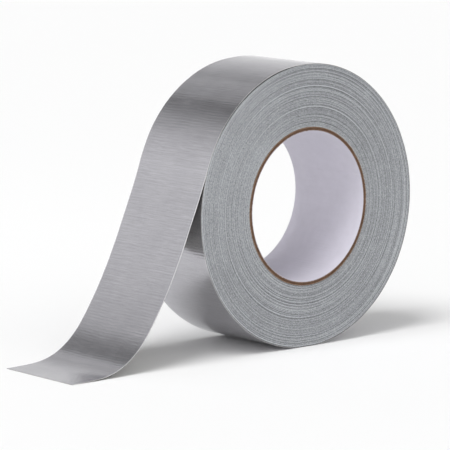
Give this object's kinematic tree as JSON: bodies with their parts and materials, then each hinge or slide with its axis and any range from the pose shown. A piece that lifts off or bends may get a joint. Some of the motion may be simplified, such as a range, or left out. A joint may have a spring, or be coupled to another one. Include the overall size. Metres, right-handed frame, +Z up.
{
  "type": "duct tape roll",
  "caption": "Roll of silver cloth-backed duct tape on a board core, standing on its rim, with the free end peeled off and curving down to the surface.",
  "frame": {"origin": "centre of the core's bore, at the middle of the tape's width", "axes": "+Y along the bore; +Z up, away from the surface the roll stands on; the free end leaves the roll on the -X side and lies on that surface towards -X"},
  "size_m": [0.2238, 0.0508, 0.1436],
  "materials": {
    "film": "satin silver polyethylene film, lightly embossed by the cloth under it",
    "scrim": "open woven cotton and polyester gauze",
    "adhesive": "tacky, slightly shiny rubber adhesive",
    "wound_edge": "matte, fine uneven rings where the wound layers end",
    "board": "matte brown board with a rough cut edge",
    "liner": "smooth matte lavender-grey paper"
  },
  "bodies": {
    "roll": {"core_liner": "liner", "core_ply_inner": "board", "core_ply_middle": "board", "core_ply_outer": "board", "wound_tape": "wound_edge", "outer_turn_film": "film", "outer_turn_scrim": "scrim", "outer_turn_adhesive": "adhesive"},
    "tail_1": {"tail_1_film": "film", "tail_1_scrim": "scrim", "tail_1_adhesive": "adhesive"},
    "tail_2": {"tail_2_film": "film", "tail_2_scrim": "scrim", "tail_2_adhesive": "adhesive"},
    "tail_3": {"tail_3_film": "film", "tail_3_scrim": "scrim", "tail_3_adhesive": "adhesive"},
    "tail_4": {"tail_4_film": "film", "tail_4_scrim": "scrim", "tail_4_adhesive": "adhesive"},
    "tail_5": {"tail_5_film": "film", "tail_5_scrim": "scrim", "tail_5_adhesive": "adhesive"},
    "tail_6": {"tail_6_film": "film", "tail_6_scrim": "scrim", "tail_6_adhesive": "adhesive"},
    "tail_7": {"tail_7_film": "film", "tail_7_scrim": "scrim", "tail_7_adhesive": "adhesive"},
    "tail_8": {"tail_8_film": "film", "tail_8_scrim": "scrim", "tail_8_adhesive": "adhesive"}
  },
  "joints": [
    {"name": "tail_peel", "type": "hinge", "parent": "roll", "child": "tail_1", "pos_m": [-0.06808, 0, 0.02344], "axis": [0, 1, 0], "range_deg": [0, 90]},
    {"name": "tail_bend_1", "type": "hinge", "parent": "tail_1", "child": "tail_2", "pos_m": [-0.07416, 0, 0.00729], "axis": [0, 1, 0], "range_deg": [-25, 7], "stiffness_Nm_per_rad": 0.0011},
    {"name": "tail_bend_2", "type": "hinge", "parent": "tail_2", "child": "tail_3", "pos_m": [-0.0809, 0, -0.00861], "axis": [0, 1, 0], "range_deg": [-15, 4.2], "stiffness_Nm_per_rad": 0.0011},
    {"name": "tail_bend_3", "type": "hinge", "parent": "tail_3", "child": "tail_4", "pos_m": [-0.08806, 0, -0.02432], "axis": [0, 1, 0], "range_deg": [-17, 4.76], "stiffness_Nm_per_rad": 0.0011},
    {"name": "tail_bend_4", "type": "hinge", "parent": "tail_4", "child": "tail_5", "pos_m": [-0.0963, 0, -0.03949], "axis": [0, 1, 0], "range_deg": [-18, 5.04], "stiffness_Nm_per_rad": 0.0011},
    {"name": "tail_bend_5", "type": "hinge", "parent": "tail_5", "child": "tail_6", "pos_m": [-0.10583, 0, -0.05388], "axis": [0, 1, 0], "range_deg": [-26.5, 7.42], "stiffness_Nm_per_rad": 0.0011},
    {"name": "tail_bend_6", "type": "hinge", "parent": "tail_6", "child": "tail_7", "pos_m": [-0.11838, 0, -0.06558], "axis": [0, 1, 0], "range_deg": [-37.5, 10.5], "stiffness_Nm_per_rad": 0.0011},
    {"name": "tail_bend_7", "type": "hinge", "parent": "tail_7", "child": "tail_8", "pos_m": [-0.13464, 0, -0.07087], "axis": [0, 1, 0], "range_deg": [-30.5, 8.54], "stiffness_Nm_per_rad": 0.0011}
  ],
  "couplings": [
    {"joint": "tail_bend_2", "follows": "tail_bend_1", "ratio": 0.6},
    {"joint": "tail_bend_3", "follows": "tail_bend_1", "ratio": 0.68},
    {"joint": "tail_bend_4", "follows": "tail_bend_1", "ratio": 0.72},
    {"joint": "tail_bend_5", "follows": "tail_bend_1", "ratio": 1.06},
    {"joint": "tail_bend_6", "follows": "tail_bend_1", "ratio": 1.5},
    {"joint": "tail_bend_7", "follows": "tail_bend_1", "ratio": 1.22}
  ]
}
